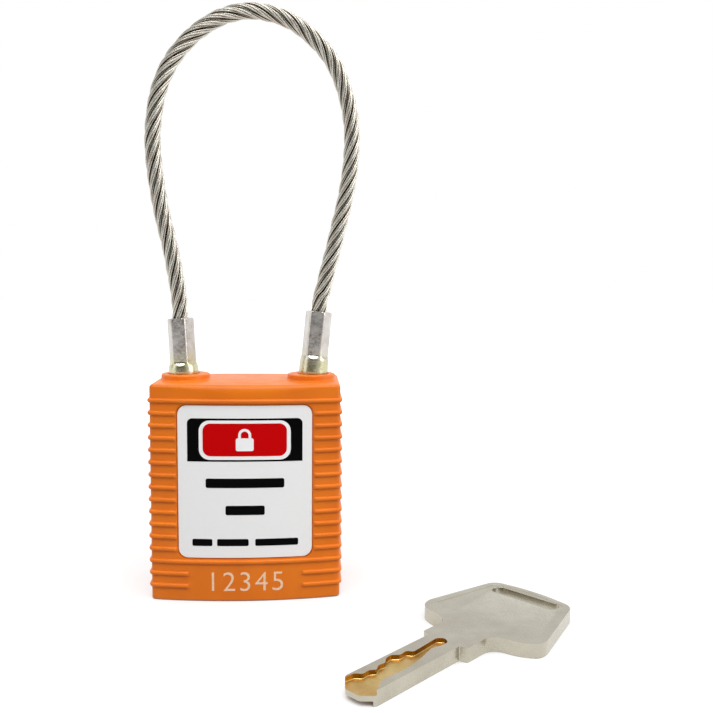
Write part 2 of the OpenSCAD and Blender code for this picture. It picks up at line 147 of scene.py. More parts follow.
# wire rope and the socket that holds its end
ROPE_D = 3.5
ROPE_LAY = 23.0
WIRE_LAY = 46.0
STRANDS = 6
WIRES = 6
ROPE_STEP = 0.46
ROPE_IN_SOCKET = 1.0
ROPE_STRAIGHT = 3.0
SOCKET_R = ROPE_D / 2 + 0.03
SOCKET_EDGE = 0.12
SOCKET_DEEP = 1.4
# how strongly painted shade with some oil darkens the valleys between wires and the strands' inner
# sides
SHADE_AND_OIL_BY_WIRES = 0.45
SHADE_AND_OIL_BY_STRANDS = 2.2
SHADE_AND_OIL_FROM = 0.15

# key
KEY_T = 2.7
KEY_PLACE = (30.0, -45.6)
KEY_TURN = 42.9
KEY_EDGE_R = 0.28
SLOT_EDGE_R = 0.35
TRACK_EDGE_R = 0.16
TRACK_DEPTH = 0.9
PANEL_DEPTH = 0.1
PANEL_TAPER = 0.98
PANEL_MIDDLE_X = 30.0


# ---------------------------------------------------------------- camera

def make_camera():
    """Camera at about the height of the rope loop, looking down a little."""
    tilt, yaw, roll = math.radians(5.10), math.radians(-3.44), math.radians(0.427)
    stand = Vector((13.24, -177.39, 66.9)) * MM
    data = bpy.data.cameras.new("camera")
    data.sensor_width = 36.0
    data.lens = 40.39
    data.clip_start = 0.01
    data.clip_end = 20.0
    camera = bpy.data.objects.new("camera", data)
    bpy.context.scene.collection.objects.link(camera)
    turn = Matrix.Rotation(yaw, 4, "Z") @ Matrix.Rotation(math.pi / 2 - tilt, 4, "X")
    camera.matrix_world = Matrix.Translation(stand) @ turn @ Matrix.Rotation(roll, 4, "Z")
    bpy.context.scene.camera = camera


make_camera()


# ---------------------------------------------------------------- mesh helpers

def smooth(t):
    """0 below t = 0, 1 above t = 1, and a smooth step between."""
    t = min(max(t, 0.0), 1.0)
    return t * t * (3 - 2 * t)


def make_piece(name, bm, materials, body, sharp=35.0, place=None):
    """A finished object in metres from a bmesh in millimetres, riding on a body."""
    if place is not None:
        bmesh.ops.transform(bm, matrix=place, verts=bm.verts)
    bmesh.ops.recalc_face_normals(bm, faces=bm.faces)
    bmesh.ops.scale(bm, vec=(MM, MM, MM), verts=bm.verts)
    mesh = bpy.data.meshes.new(name)
    bm.to_mesh(mesh)
    bm.free()
    for material in materials:
        mesh.materials.append(material)
    mesh.shade_smooth()
    mesh.set_sharp_from_angle(angle=math.radians(sharp))
    piece = bpy.data.objects.new(name, mesh)
    bpy.context.scene.collection.objects.link(piece)
    if body:
        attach(piece, body)
    return piece


def cut(bm, cutter, operation="DIFFERENCE", materials=()):
    """A new bmesh: bm with the cutter's shape taken away or added."""
    pair = []
    for part in (bm, cutter):
        bmesh.ops.recalc_face_normals(part, faces=part.faces)
        mesh = bpy.data.meshes.new("work")
        part.to_mesh(mesh)
        part.free()
        for material in materials:
            mesh.materials.append(material)
        holder = bpy.data.objects.new("work", mesh)
        bpy.context.scene.collection.objects.link(holder)
        pair.append(holder)
    tool = pair[0].modifiers.new("cut", "BOOLEAN")
    tool.operation = operation
    tool.solver = "EXACT"
    tool.object = pair[1]
    shaped = pair[0].evaluated_get(bpy.context.evaluated_depsgraph_get()).to_mesh()
    result = bmesh.new()
    result.from_mesh(shaped)
    for holder in pair:
        mesh = holder.data
        bpy.data.objects.remove(holder)
        bpy.data.meshes.remove(mesh)
    bmesh.ops.remove_doubles(result, verts=result.verts, dist=0.002)
    return result


def block(low, high):
    """Box given by its lowest and highest corners."""
    bm = bmesh.new()
    bmesh.ops.create_cube(bm, size=1.0)
    low, high = Vector(low), Vector(high)
    bmesh.ops.scale(bm, vec=high - low, verts=bm.verts)
    bmesh.ops.translate(bm, vec=(low + high) / 2, verts=bm.verts)
    return bm


def outline(corners):
    """A flat face from [x, y, cut] corners, each rounded from cut before it to cut after it."""
    bm = bmesh.new()
    verts = [bm.verts.new((x, y, 0)) for x, y, _ in corners]
    bm.faces.new(verts)
    for vert, (_, _, size) in zip(verts, corners):
        if size:
            bmesh.ops.bevel(bm, geom=[vert], offset=size, segments=6, profile=0.5,
                            affect="VERTICES", material=-1)
    return bm


def prism(bm, z0, z1):
    """Turns a flat face into a closed block from z0 to z1."""
    bmesh.ops.translate(bm, vec=(0, 0, z0), verts=bm.verts)
    grown = bmesh.ops.extrude_face_region(bm, geom=bm.faces[:], use_keep_orig=True)
    top = [g for g in grown["geom"] if isinstance(g, bmesh.types.BMVert)]
    bmesh.ops.translate(bm, vec=(0, 0, z1 - z0), verts=top)
    bmesh.ops.recalc_face_normals(bm, faces=bm.faces)
    return bm


def rounded_block(w, d, z0, z1, r):
    """Block with a rounded plan, centred on the Z axis."""
    return prism(outline([(sx * w / 2, sy * d / 2, r)
                          for sx, sy in ((-1, -1), (1, -1), (1, 1), (-1, 1))]), z0, z1)


def spun(profile, x=0.0, steps=96):
    """Closed turned shape from [radius, z] points, first and last on the axis."""
    bm = bmesh.new()
    verts = [bm.verts.new((r, 0, z)) for r, z in profile]
    edges = [bm.edges.new(pair) for pair in zip(verts, verts[1:])]
    bmesh.ops.spin(bm, geom=verts + edges, axis=(0, 0, 1), cent=(0, 0, 0),
                   steps=steps, angle=2 * math.pi, use_merge=True)
    bmesh.ops.remove_doubles(bm, verts=bm.verts, dist=0.0005)
    bmesh.ops.translate(bm, vec=(x, 0, 0), verts=bm.verts)
    bmesh.ops.recalc_face_normals(bm, faces=bm.faces)
    return bm


def bevel_edges(bm, where, offset, segments=3, angle=30.0):
    """Rounds the sharp edges whose middle passes the test."""
    edges = [e for e in bm.edges if len(e.link_faces) == 2
             and e.calc_face_angle(0) > math.radians(angle)
             and where((e.verts[0].co + e.verts[1].co) / 2)]
    bmesh.ops.bevel(bm, geom=edges, offset=offset, segments=segments, profile=0.5,
                    affect="EDGES", material=-1, clamp_overlap=True)


# ---------------------------------------------------------------- material helpers

NOISE_SPREAD = {"From Min": 0.3, "From Max": 0.7}   # where most of the noise's values lie
MIX_FROM, MIX_TO, MIXED = 6, 7, 2                   # the colour sockets of a Mix node


def paint(code):
    """Linear colour from an sRGB hex value."""
    parts = [int(code[i:i + 2], 16) / 255 for i in (1, 3, 5)]
    return [p / 12.92 if p <= 0.04045 else ((p + 0.055) / 1.055) ** 2.4 for p in parts] + [1.0]


def add(tree, kind, settings, inputs):
    """Adds a node; inputs are plain values, or sockets to link from."""
    made = tree.nodes.new(kind)
    for name, value in settings.items():
        setattr(made, name, value)
    for name, value in inputs.items():
        if isinstance(value, bpy.types.NodeSocket):
            tree.links.new(value, made.inputs[name])
        else:
            made.inputs[name].default_value = value
    return made


def start_material(name, settings):
    """A Principled material with its plain values set; gives its tree, shader and coordinates."""
    material = bpy.data.materials.new(name)
    material.use_nodes = True
    tree = material.node_tree
    shader = next(n for n in tree.nodes if n.type == "BSDF_PRINCIPLED")
    for socket, value in settings.items():
        shader.inputs[socket].default_value = value
    coords = add(tree, "ShaderNodeTexCoord", {}, {}).outputs["Object"]
    return material, tree, shader, coords


def per_mm(size):
    """Texture scale whose features are about size millimetres apart, on metre coordinates."""
    return 1.0 / (size * MM)


def mottle(tree, coords, size, detail=3.0, stretch=(1, 1, 1)):
    """Soft noise with features of a given size in millimetres, stretched along an axis."""
    moved = add(tree, "ShaderNodeMapping", {}, {"Vector": coords, "Scale": stretch})
    return add(tree, "ShaderNodeTexNoise", {}, {
        "Vector": moved.outputs["Vector"], "Scale": per_mm(size), "Detail": detail,
        "Roughness": 0.55}).outputs["Fac"]


def two_tone(tree, noise, dark, light):
    """A colour that drifts between two others with noise."""
    share = add(tree, "ShaderNodeMapRange", {}, {"Value": noise, **NOISE_SPREAD})
    mixed = add(tree, "ShaderNodeMix", {"data_type": "RGBA"}, {
        "Factor": share.outputs["Result"], MIX_FROM: dark, MIX_TO: light})
    return mixed.outputs[MIXED]


def finish_surface(tree, shader, colour, gloss=None, relief=()):
    """Gives a shader its colour, its changing roughness and its relief.

    gloss is (noise, lowest roughness, highest roughness), and relief lists
    (noise, depth in millimetres), the broadest layer first.
    """
    tree.links.new(colour, shader.inputs["Base Color"])
    if gloss:
        noise, low, high = gloss
        rough = add(tree, "ShaderNodeMapRange", {}, {
            "Value": noise, **NOISE_SPREAD, "To Min": low, "To Max": high})
        tree.links.new(rough.outputs["Result"], shader.inputs["Roughness"])
    below = {}
    for noise, depth in relief:
        layer = add(tree, "ShaderNodeBump", {}, {
            "Height": noise, "Distance": depth * MM, "Strength": 1.0, **below})
        below = {"Normal": layer.outputs["Normal"]}
    if below:
        tree.links.new(below["Normal"], shader.inputs["Normal"])


# ---------------------------------------------------------------- materials

def orange_nylon():
    """Injection-moulded nylon: satin, with a spark-eroded grain and faint flow marks.

    The grain is drawn at twice its real size, so that it shows.
    """
    material, tree, shader, coords = start_material("moulded_orange_nylon", {
        "IOR": 1.53, "Specular IOR Level": 0.28})
    flow = mottle(tree, coords, size=9.0, detail=2.0, stretch=(1, 1, 0.6))
    patches = mottle(tree, coords, size=3.0)
    grain = mottle(tree, coords, size=0.22, detail=2.0)
    finish_surface(tree, shader, two_tone(tree, flow, paint("#d86c08"), paint("#e1760e")),
                   gloss=(patches, 0.34, 0.44), relief=[(grain, 0.008)])
    return material


def printed_film(name, code, gloss):
    """Polyester film or the ink on it: semi-gloss, a little uneven where it is stuck."""
    material, tree, shader, coords = start_material(name, {
        "Roughness": gloss, "IOR": 1.45, "Specular IOR Level": 0.04})
    waves = mottle(tree, coords, size=6.0, detail=1.0)
    speck = mottle(tree, coords, size=0.3, detail=2.0)
    colour = paint(code)
    darker = [c * 0.975 for c in colour[:3]] + [1.0]
    finish_surface(tree, shader, two_tone(tree, speck, darker, colour),
                   relief=[(waves, 0.02), (speck, 0.002)])
    return material


def laser_mark():
    """Nylon bleached by a marking laser: pale, matt and slightly foamed."""
    material, tree, shader, coords = start_material("laser_mark", {"Roughness": 0.7, "IOR": 1.5})
    foam = mottle(tree, coords, size=0.18, detail=2.0)
    finish_surface(tree, shader, two_tone(tree, foam, paint("#e3b48c"), paint("#f2dcc0")),
                   relief=[(foam, 0.01)])
    return material


def zinc_plate():
    """Pressed steel with bright zinc plate: cloudy, dented, and scratched along its length.

    Towards its root the passivation gives it a yellow cast.
    """
    material, tree, shader, coords = start_material("zinc_plated_steel", {"Metallic": 1.0})
    cloud = mottle(tree, coords, size=2.2, detail=4.0, stretch=(1, 1, 0.7))
    dents = mottle(tree, coords, size=1.5, detail=2.0)
    scratch = mottle(tree, coords, size=0.16, detail=2.0, stretch=(1, 1, 0.08))
    height = add(tree, "ShaderNodeSeparateXYZ", {}, {"Vector": coords}).outputs["Z"]
    root = add(tree, "ShaderNodeMapRange", {"interpolation_type": "SMOOTHSTEP"}, {
        "Value": height, "From Min": YELLOW_TOP_Z * MM, "From Max": YELLOW_LOW_Z * MM,
        "To Min": 0.0, "To Max": 0.8})
    plated = add(tree, "ShaderNodeMix", {"data_type": "RGBA"}, {
        "Factor": root.outputs["Result"],
        # the warm mauve tint of the plain plate is a painted reflection tint
        MIX_FROM: two_tone(tree, cloud, paint("#c0b7b0"), paint("#dcd9d5")),
        MIX_TO: two_tone(tree, cloud, paint("#c6c491"), paint("#dcd9b8"))})
    finish_surface(tree, shader, plated.outputs[MIXED], gloss=(cloud, 0.22, 0.34),
                   relief=[(dents, 0.06), (scratch, 0.004)])
    return material


def rope_wire():
    """Galvanised wire in a laid rope: grey and slightly dull, darker in the hollows with oil and
    painted shade.
    """
    material, tree, shader, coords = start_material("galvanised_wire", {"Metallic": 1.0})
    hollow = add(tree, "ShaderNodeAttribute", {"attribute_name": "hollow"}, {}).outputs["Fac"]
    spangle = mottle(tree, coords, size=1.6, detail=2.0)
    # the dark colour laid into the hollows is painted shade with some oil
    oiled_and_shaded = add(tree, "ShaderNodeMix", {"data_type": "RGBA"}, {
        "Factor": hollow, MIX_TO: paint("#463b30"),
        MIX_FROM: two_tone(tree, spangle, paint("#c6bcaf"), paint("#d8d8ce"))})
    finish_surface(tree, shader, oiled_and_shaded.outputs[MIXED], gloss=(spangle, 0.34, 0.44))
    return material


def plated_key():
    """Nickel-plated brass, tumbled: a warm grey sheen with fine lines along the key."""
    material, tree, shader, coords = start_material("nickel_plated_brass", {"Metallic": 1.0})
    cloud = mottle(tree, coords, size=5.0)
    waves = mottle(tree, coords, size=3.0, detail=1.0)
    lines = mottle(tree, coords, size=0.3, detail=1.0, stretch=(1, 0.1, 1))
    finish_surface(tree, shader, two_tone(tree, cloud, paint("#b2ac9d"), paint("#bfbaab")),
                   gloss=(lines, 0.2, 0.3), relief=[(waves, 0.03), (lines, 0.0006)])
    return material


def machined(name, dark, light, cutter_mm=0.25, rough=(0.22, 0.36)):
    """Bare metal cut by a tool: fine even lines and slightly changing gloss."""
    material, tree, shader, coords = start_material(name, {"Metallic": 1.0})
    lines = mottle(tree, coords, size=cutter_mm, detail=1.0, stretch=(1, 1, 0.12))
    cloud = mottle(tree, coords, size=4.0)
    finish_surface(tree, shader, two_tone(tree, cloud, paint(dark), paint(light)),
                   gloss=(lines, *rough), relief=[(lines, 0.005)])
    return material


def cast_zinc():
    """Die-cast zinc alloy: dull grey with a soft orange-peel skin."""
    material, tree, shader, coords = start_material("die_cast_zinc", {"Metallic": 1.0})
    cloud = mottle(tree, coords, size=6.0)
    skin = mottle(tree, coords, size=0.5)
    finish_surface(tree, shader, two_tone(tree, cloud, paint("#8f9191"), paint("#a9aaa8")),
                   gloss=(skin, 0.4, 0.56), relief=[(skin, 0.012)])
    return material


NYLON = orange_nylon()
FILM = printed_film("white_label_film", "#efefef", 0.32)
BLACK_INK = printed_film("black_ink", "#030303", 0.4)
RED_INK = printed_film("red_ink", "#c60407", 0.38)
WHITE_INK = printed_film("white_ink", "#f4f4f5", 0.38)
MARK = laser_mark()
ZINC_PLATE = zinc_plate()
WIRE = rope_wire()
NICKEL = plated_key()
TRACK_FLOOR = machined("milled_brass_floor", "#c0a45e", "#d6be84", 0.3, (0.3, 0.45))
# painted shade: this darker brass on the track walls and all over the lower track stands for the
# shade inside them
SHADED_TRACK_BRASS = machined("milled_brass_painted_shade", "#8a5a10", "#b47f24", 0.3, (0.3, 0.45))
BRASS = machined("turned_brass", "#b8944a", "#d0ad63")
CAST_ZINC = cast_zinc()
PLAIN_STEEL = machined("stamped_steel", "#9a9c9e", "#b4b6b8")
BLACK_OXIDE = machined("black_oxide_steel", "#2a2a2c", "#3d3d40", 0.3, (0.35, 0.5))
SPRING_STEEL = machined("drawn_spring_wire", "#8c8c8a", "#adadab")


# ---------------------------------------------------------------- rope

HEEL_TOP = (-PIN_X + (HEEL_BASE + CRIMP_LEN) * math.sin(math.radians(HEEL_LEAN)),
            BEND_Z + (HEEL_BASE + CRIMP_LEN) * math.cos(math.radians(HEEL_LEAN)))
TOE_TOP = (PIN_X + (TOE_BASE + CRIMP_LEN) * math.sin(math.radians(TOE_LEAN)),
           BEND_Z + (TOE_BASE + CRIMP_LEN) * math.cos(math.radians(TOE_LEAN)))
ROPE_ROUTE = [
    (-15.2, 65), (-16, 70), (-17, 75.5), (-18.3, 81), (-19.3, 86.6),
    (-20, 92), (-20.3, 97), (-20, 102), (-19, 107.5), (-17, 112.6),
    (-14, 117), (-10, 120.8), (-5.2, 123.6), (0, 124.9), (5.4, 124.4),
    (10.1, 122.6), (14, 119.7), (17.4, 116.1), (19.9, 111.5), (21.5, 106.6),
    (22.4, 101.5), (22.5, 96.5), (22.1, 91.5), (21.2, 85.9), (19.8, 79.9),
    (18.5, 74.4), (17.2, 69.4), (16.3, 65.5)]


def along(top, lean, distance):
    """Point on a leaning ferrule's axis, a distance past its top."""
    turn = math.radians(lean)
    return (top[0] + distance * math.sin(turn), top[1] + distance * math.cos(turn))


def smooth_route(knots, parts=16):
    """Points on a smooth curve through the knots, in the XZ plane."""
    first = tuple(2 * a - b for a, b in zip(knots[0], knots[1]))
    last = tuple(2 * a - b for a, b in zip(knots[-1], knots[-2]))
    k = [first] + list(knots) + [last]
    points = []
    for i in range(1, len(k) - 2):
        for j in range(parts + (i == len(k) - 3)):
            u = j / parts
            points.append(Vector([0.5 * (
                2 * b + (c - a) * u + (2 * a - 5 * b + 4 * c - d) * u * u
                + (3 * b - 3 * c + d - a) * u ** 3)
                for a, b, c, d in zip(k[i - 1], k[i], k[i + 1], k[i + 2])]))
    return points


def even_points(points, step):
    """The same line as points an even step apart, with its directions."""
    reach = [0.0]
    for a, b in zip(points, points[1:]):
        reach.append(reach[-1] + (b - a).length)
    count = round(reach[-1] / step)
    places, i = [], 0
    for n in range(count + 1):
        s = reach[-1] * n / count
        while i < len(points) - 2 and reach[i + 1] < s:
            i += 1
        share = (s - reach[i]) / (reach[i + 1] - reach[i])
        places.append(points[i].lerp(points[i + 1], share))
    ways = [(places[min(n + 1, count)] - places[max(n - 1, 0)]).normalized()
            for n in range(count + 1)]
    return places, ways, reach[-1] / count


def strand_tube(bm, centres, ways, step, phase, layer):
    """One strand: a tube whose lobed section turns with its wires as it winds round the rope."""
    strand_r = ROPE_D / 6
    centre_r = ROPE_D / 2 - strand_r
    slant = math.atan(2 * math.pi * centre_r / ROPE_LAY)
    wire_r = strand_r * math.sin(math.pi / WIRES) / (1 + math.sin(math.pi / WIRES))
    ring_r = strand_r - wire_r
    per_wire = 6
    sides = WIRES * per_wire
    count = len(centres) - 1
    back = Vector((0, 1, 0))
    grown = bmesh.ops.create_grid(bm, x_segments=count, y_segments=sides, size=1.0)["verts"]
    for vert in grown:
        n = round((vert.co.x + 1) / 2 * count)
        k = round((vert.co.y + 1) / 2 * sides)
        x, z = centres[n]
        along_x, along_z = ways[n]
        forward = Vector((along_x, 0, along_z))
        side = Vector((along_z, 0, -along_x))

        # where the strand is round the rope
        turn = phase + 2 * math.pi * n * step / ROPE_LAY
        out = side * math.cos(turn) + back * math.sin(turn)
        round_way = back * math.cos(turn) - side * math.sin(turn)
        across = round_way * math.cos(slant) - forward * math.sin(slant)

        # where this point is round the strand, on the arc of its wire
        a = 2 * math.pi * k / sides + 2 * math.pi * n * step / WIRE_LAY
        off = ((k % per_wire) - per_wire / 2) / (per_wire / 2) * math.pi / WIRES
        inside = max(wire_r ** 2 - (ring_r * math.sin(off)) ** 2, 0.0)
        r = ring_r * math.cos(off) + math.sqrt(inside)
        vert.co = (Vector((x, 0, z)) + out * (centre_r + r * math.cos(a))
                   + across * (r * math.sin(a)))
        # painted shade with some oil: darker in the valleys between wires and on the side of the
        # strand that faces the rope's middle
        inward = (1 - math.cos(a)) / 2
        vert[layer] = min(1.0, SHADE_AND_OIL_BY_WIRES * (strand_r - r) / wire_r
                          + SHADE_AND_OIL_BY_STRANDS * max(inward - SHADE_AND_OIL_FROM, 0.0))


def make_rope():
    """Laid wire rope of six strands round a core, from ferrule to ferrule."""
    knots = ([along(HEEL_TOP, HEEL_LEAN, -ROPE_IN_SOCKET),
              along(HEEL_TOP, HEEL_LEAN, ROPE_STRAIGHT)]
             + ROPE_ROUTE
             + [along(TOE_TOP, TOE_LEAN, ROPE_STRAIGHT),
                along(TOE_TOP, TOE_LEAN, -ROPE_IN_SOCKET)])
    centres, ways, step = even_points(smooth_route(knots), ROPE_STEP)
    bm = bmesh.new()
    layer = bm.verts.layers.float.new("hollow")
    for i in range(STRANDS):
        strand_tube(bm, centres, ways, step, 2 * math.pi * i / STRANDS, layer)
    bmesh.ops.remove_doubles(bm, verts=bm.verts, dist=0.0008)
    bmesh.ops.holes_fill(bm, edges=[e for e in bm.edges if e.is_boundary], sides=0)
    piece = make_piece("laid_wire_rope", bm, [WIRE], None, sharp=80.0)
    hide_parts("wire_rope")
    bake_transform(piece)


make_rope()


# ---------------------------------------------------------------- case

def face_y(x, out=0.0):
    """How far the front or back face is from the middle plane at x, grown by out."""
    r = FACE_R + out
    return math.sqrt(r * r - x * x) - (FACE_R - DEPTH / 2)


def quarter_plan():
    """A quarter of the plan from the middle of a face to the middle of a side.

    Each entry is (x, y, outward x, outward y). The points are closer where the ribs end.
    """
    r = SIDE_CORNER_R
    start = math.asin((BODY_W / 2 - r) / (FACE_R - r))
    corner_y = (FACE_R - r) * math.cos(start) - (FACE_R - DEPTH / 2)
    last_x = FACE_R * math.sin(start)
    rib_ends = [free + RIB_END * i / 4 for free in (LOW_FREE_X, LABEL_FREE_X) for i in range(5)]
    between = [1.5 * i for i in range(8)] + [13.2, 15.7, 16.8, 18.0]
    face = [(x, face_y(x), x / FACE_R, math.sqrt(1 - (x / FACE_R) ** 2))
            for x in sorted(rib_ends + between) if x < last_x]
    steps = 6
    turns = [start + (math.pi / 2 - start) * i / steps for i in range(steps + 1)]
    corner = [(BODY_W / 2 - r + r * math.sin(a), corner_y + r * math.cos(a),
               math.sin(a), math.cos(a)) for a in turns]
    side = [(BODY_W / 2, corner_y * share, 1.0, 0.0) for share in (0.66, 0.33, 0.0)]
    return face + corner + side


def full_plan():
    """The whole plan, anticlockwise from the middle of the front."""
    quarter = quarter_plan()
    points = []
    for sx, sy, back_to_front in ((1, -1, False), (1, 1, True), (-1, 1, False), (-1, -1, True)):
        part = quarter[::-1] if back_to_front else quarter
        points += [(sx * x, sy * y, sx * nx, sy * ny) for x, y, nx, ny in part[:-1]]
    return points


def rib_out(i, x, y):
    """How much of rib i shows at a point of the plan: ribs stop short of the label."""
    if i in (LOW_RIBS, TOP_RIB) or abs(y) < face_y(SIDE_X) - SIDE_IN:
        return 1.0
    free = LOW_FREE_X if i < LOW_RIBS else LABEL_FREE_X
    return smooth((abs(x) - free) / RIB_END)


def top_round(x):
    """Inset and height of the upper edge's rounding: tight at the corners, tall at the middle."""
    middle = smooth(1 - abs(x) / CROWN_X)
    return EDGE_R + CROWN_IN * middle, EDGE_R + CROWN_UP * middle


def shell_rows():
    """Rows up the body: each is (rib or None, height, share of the rib's outward swell)."""
    rows = [(None, 0.0, -FOOT_EDGE), (None, FOOT_EDGE, 0.0)]
    steps = 8
    for i in range(RIB_COUNT):
        middle = RIB_Z0 + i * RIB_PITCH
        for j in range(steps + 1):
            a = math.pi * (j / steps - 0.5)
            rows.append((i, middle + RIB_H / 2 * math.sin(a), math.cos(a)))
    return rows


def collar_profile():
    """Half section of the collar round a leg, with a rounded root and rim."""
    root, rim = COLLAR_ROOT_R, COLLAR_RIM_R
    foot_r = COLLAR_R + root
    quarter = [math.pi / 2 * i / 5 for i in range(6)]
    return ([(0, BODY_H - PAST), (foot_r, BODY_H - PAST), (foot_r, BODY_H - 2 * HAIR)]
            + [(foot_r - root * math.sin(a), BODY_H + root - root * math.cos(a))
               for a in quarter]
            + [(COLLAR_R - rim + rim * math.cos(a), COLLAR_TOP - rim + rim * math.sin(a))
               for a in quarter]
            + [(0, COLLAR_TOP)])


def make_case():
    """Ribbed moulded body with label recesses, hollow below for the lock works."""
    plan = full_plan()
    bm = bmesh.new()
    ring = bmesh.ops.create_circle(bm, segments=len(plan), radius=1.0, cap_ends=False)["verts"]
    ring.sort(key=lambda v: math.atan2(v.co.y, v.co.x))

    def place(verts, z_of, out_of):
        for vert, point in zip(verts, plan):
            out = out_of(point)
            vert.co = (point[0] + point[2] * out, point[1] + point[3] * out, z_of(point))

    def next_row(verts):
        edges = [bm.edges.get((a, b)) for a, b in zip(verts, verts[1:] + verts[:1])]
        geom = bmesh.ops.extrude_edge_only(bm, edges=edges)["geom"]
        grown = {g for g in geom if isinstance(g, bmesh.types.BMVert)}
        return [next(e.other_vert(v) for e in v.link_edges if e.other_vert(v) in grown)
                for v in verts]

    rows = shell_rows()
    place(ring, lambda p: rows[0][1], lambda p: rows[0][2])
    first = ring
    for i, z, swell in rows[1:]:
        ring = next_row(ring)
        if i is None:
            place(ring, lambda p: z, lambda p: swell)
        else:
            place(ring, lambda p: z, lambda p: RIB_OUT * swell * rib_out(i, p[0], p[1]))
    steps = 8
    for j in range(steps + 1):
        a = math.pi / 2 * j / steps
        ring = next_row(ring)
        place(ring, lambda p: BODY_H - top_round(p[0])[1] * (1 - math.sin(a)),
              lambda p: -top_round(p[0])[0] * (1 - math.cos(a)))
    bm.faces.new(ring)
    bm.faces.new(first[::-1])

    for side in (-1, 1):
        bm = cut(bm, spun(collar_profile(), side * COLLAR_X, 64), "UNION")
    for side in (FRONT, BACK):
        bm = cut(bm, curved_sheet(LABEL_W + 2 * LABEL_GAP, LABEL_H + 2 * LABEL_GAP, LABEL_R,
                                  0, LABEL_Z, -RECESS, PAST, side))
    bm = cut(bm, rounded_block(HOLLOW_W, FOOT_D, -PAST, FOOT_Z, HOLLOW_R))
    bm = cut(bm, rounded_block(HOLLOW_W, HOLLOW_D, HOLLOW_Z, ROOF_Z, HOLLOW_R))
    lip_r = BORE_R + BORE_LIP
    bore = [(0, ROOF_Z - PAST), (BORE_R, ROOF_Z - PAST), (BORE_R, COLLAR_TOP - BORE_LIP),
            (lip_r, COLLAR_TOP + HAIR), (lip_r, COLLAR_TOP + PAST), (0, COLLAR_TOP + PAST)]
    for side in (-1, 1):
        bm = cut(bm, spun(bore, side * PIN_X, 64))
    piece = make_piece("ribbed_case", bm, [NYLON], "body", sharp=40.0)
    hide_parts("case_shell")


def curved_sheet(w, h, r, x, z, out0, out1, side, corners=None):
    """Closed sheet that follows the curved front or back, between two offsets from it."""
    if corners is None:
        corners = [(sx * w / 2 + x, sz * h / 2 + z, r)
                   for sx, sz in ((-1, -1), (1, -1), (1, 1), (-1, 1))]
    bm = prism(outline(corners), 0.0, 1.0)
    low = min(v.co.x for v in bm.verts)
    high = max(v.co.x for v in bm.verts)
    slice_w = 1.0
    slices = max(int((high - low) / slice_w), 1)
    for i in range(1, slices):
        bmesh.ops.bisect_plane(bm, geom=bm.verts[:] + bm.edges[:] + bm.faces[:],
                               plane_co=(low + (high - low) * i / slices, 0, 0),
                               plane_no=(1, 0, 0))
    for vert in bm.verts:
        out = out1 if vert.co.z > 0.5 else out0
        vert.co = (vert.co.x, side * face_y(vert.co.x, out), vert.co.y)
    bmesh.ops.recalc_face_normals(bm, faces=bm.faces)
    return bm


make_case()


# ---------------------------------------------------------------- labels

def label_part(name, material, side, layer, w=0.0, h=0.0, r=0.0, x=0.0, z=0.0, corners=None):
    """One printed layer on a label; layers are counted up from the film."""
    low = FILM_TOP + INK_T * (layer - 1) - HAIR
    return make_piece(name, curved_sheet(w, h, r, x, z, low, FILM_TOP + INK_T * layer,
                                         side, corners), [material], "body")


def arch(z, outer, inner, leg):
    """Corners of a flat arch that stands on its two legs, for a plain padlock sign."""
    turns = [math.pi * i / 10 for i in range(11)]
    over = [(outer * math.cos(a), z + outer * math.sin(a), 0.0) for a in turns]
    under = [(inner * math.cos(a), z + inner * math.sin(a), 0.0) for a in turns[::-1]]
    return ([(outer, z - leg, 0.0)] + over + [(-outer, z - leg, 0.0), (-inner, z - leg, 0.0)]
            + under + [(inner, z - leg, 0.0)])


def make_labels():
    """A white film on each face, with plain printed shapes and no wording."""
    for side, node_name in ((FRONT, "front_label"), (BACK, "back_label")):
        film = make_piece(node_name + "_film", curved_sheet(
            LABEL_W, LABEL_H, LABEL_R, 0, LABEL_Z, FILM_LOW, FILM_TOP, side), [FILM], "body")
        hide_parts(node_name)
    band = [(-12.0, 30.0, 0.0), (12.0, 30.0, 0.0), (12.0, 39.1, 1.1), (-12.0, 39.1, 1.1)]
    sign = arch(z=35.6, outer=1.35, inner=0.8, leg=0.75)
    label_part("header_band", BLACK_INK, FRONT, 1, corners=band)
    label_part("header_panel_border", WHITE_INK, FRONT, 2, w=19.1, h=8.3, r=2.2, z=34.53)
    label_part("header_panel", RED_INK, FRONT, 3, w=17.5, h=6.9, r=1.6, z=34.6)
    label_part("padlock_sign_body", WHITE_INK, FRONT, 4, w=3.7, h=2.7, r=0.4, z=33.6)
    label_part("padlock_sign_arch", WHITE_INK, FRONT, 4, corners=sign)
    label_part("first_bar", BLACK_INK, FRONT, 1, w=16.4, h=2.0, r=0.4, z=25.4)
    label_part("second_bar", BLACK_INK, FRONT, 1, w=8.2, h=2.0, r=0.4, z=19.6)
    for i, (x, w) in enumerate(((-9.0, 4.2), (-2.6, 6.6), (6.6, 9.0))):
        label_part(f"third_bar_{i + 1}", BLACK_INK, FRONT, 1, w=w, h=1.5, r=0.3, x=x, z=12.7)
    for i in range(4):
        label_part(f"back_writing_line_{i + 1}", BLACK_INK, BACK, 1, w=21.0, h=0.3, r=0.1,
                   z=14.5 + 5.6 * i)


make_labels()


